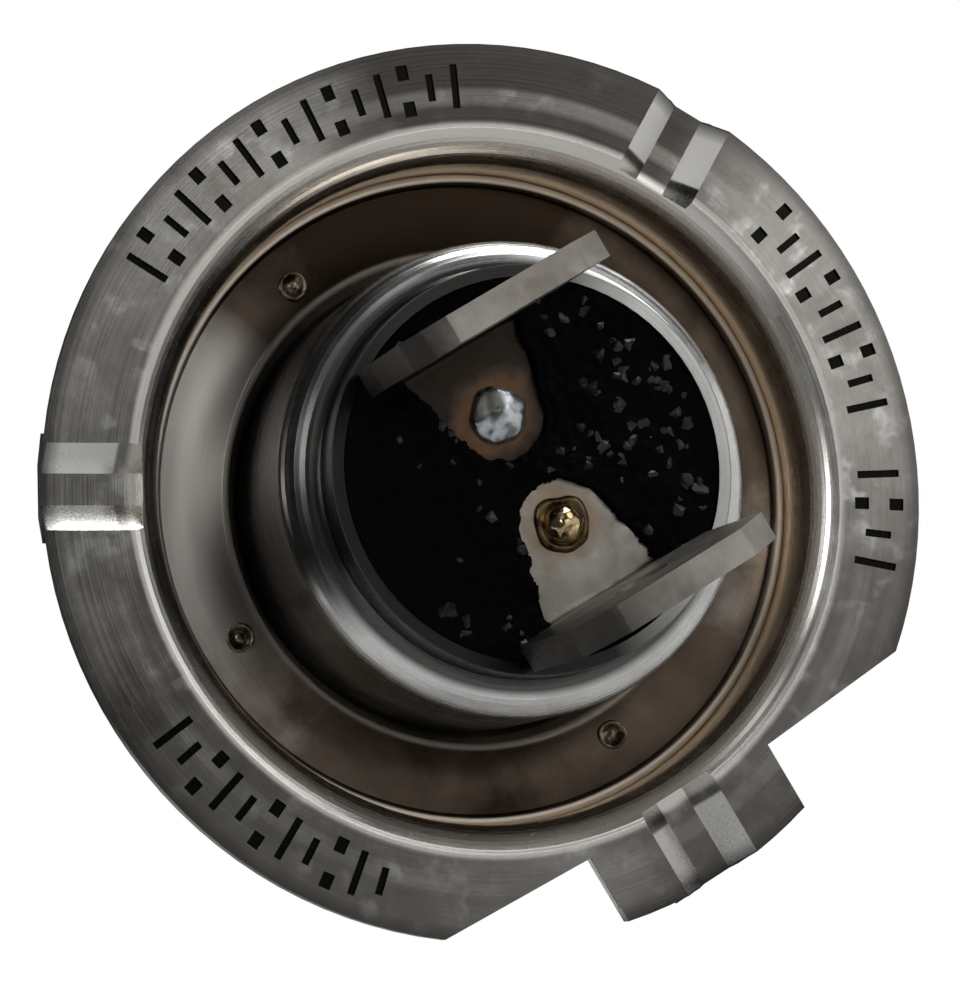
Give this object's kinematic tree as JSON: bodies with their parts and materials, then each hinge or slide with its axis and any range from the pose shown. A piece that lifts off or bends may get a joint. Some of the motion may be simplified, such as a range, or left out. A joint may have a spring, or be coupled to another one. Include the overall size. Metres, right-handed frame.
{
  "type": "halogen headlight bulb",
  "caption": "Halogen headlight bulb with a clear tube and black tip, an axial filament, a stamped prefocus ring with a keying lug, and blade terminals set in black cement.",
  "frame": {"origin": "where the lamp axis meets the reference plane, which the front faces of the three bosses on the prefocus ring set", "axes": "+Y along the lamp axis towards the glass tip, -Y towards the terminals, -Z towards the keying lug, and the terminal blades' widths along X"},
  "size_m": [0.026, 0.0539, 0.026],
  "materials": {
    "prefocus_ring": "brushed, stamped nickel-plated sheet, warm grey",
    "focusing_dome": "drawn sheet, brownish grey",
    "weld_spot": "dull melted metal",
    "focusing_sleeve": "thin bright sheet",
    "base_shell": "drawn and polished sheet",
    "pinch_clip": "thin spring sheet",
    "ceramic_insulator": "unglazed, off-white",
    "sealing_cement": "black, granular, with glassy grains",
    "terminal_plating": "matte tin plating, heat-tinted near the lead",
    "silver_bead": "melted, shiny silver grey",
    "golden_bead": "melted, shiny pale gold",
    "lead_wire": "drawn molybdenum wire",
    "seal_foil": "thin dull molybdenum foil",
    "support_wire": "drawn molybdenum wire",
    "filament": "coiled tungsten wire, dull grey",
    "glass_envelope": "clear quartz glass",
    "tip_coating": "opaque black coating, satin"
  },
  "bodies": {
    "root": {"prefocus_ring": "prefocus_ring", "focusing_dome": "focusing_dome", "dome_weld_spots": "weld_spot", "focusing_sleeve": "focusing_sleeve", "sleeve_weld_spots": "weld_spot", "base_shell": "base_shell", "pinch_clip": "pinch_clip", "ceramic_insulator": "ceramic_insulator", "sealing_cement": "sealing_cement", "terminal_blade_upper": "terminal_plating", "terminal_blade_lower": "terminal_plating", "lead_bead_upper": "silver_bead", "lead_bead_lower": "golden_bead", "outer_lead_upper": "lead_wire", "outer_lead_lower": "lead_wire", "seal_foil_upper": "seal_foil", "seal_foil_lower": "seal_foil", "long_support_wire": "support_wire", "short_support_wire": "support_wire", "filament_coil": "filament", "glass_envelope": "glass_envelope", "tip_coating": "tip_coating"}
  },
  "joints": []
}
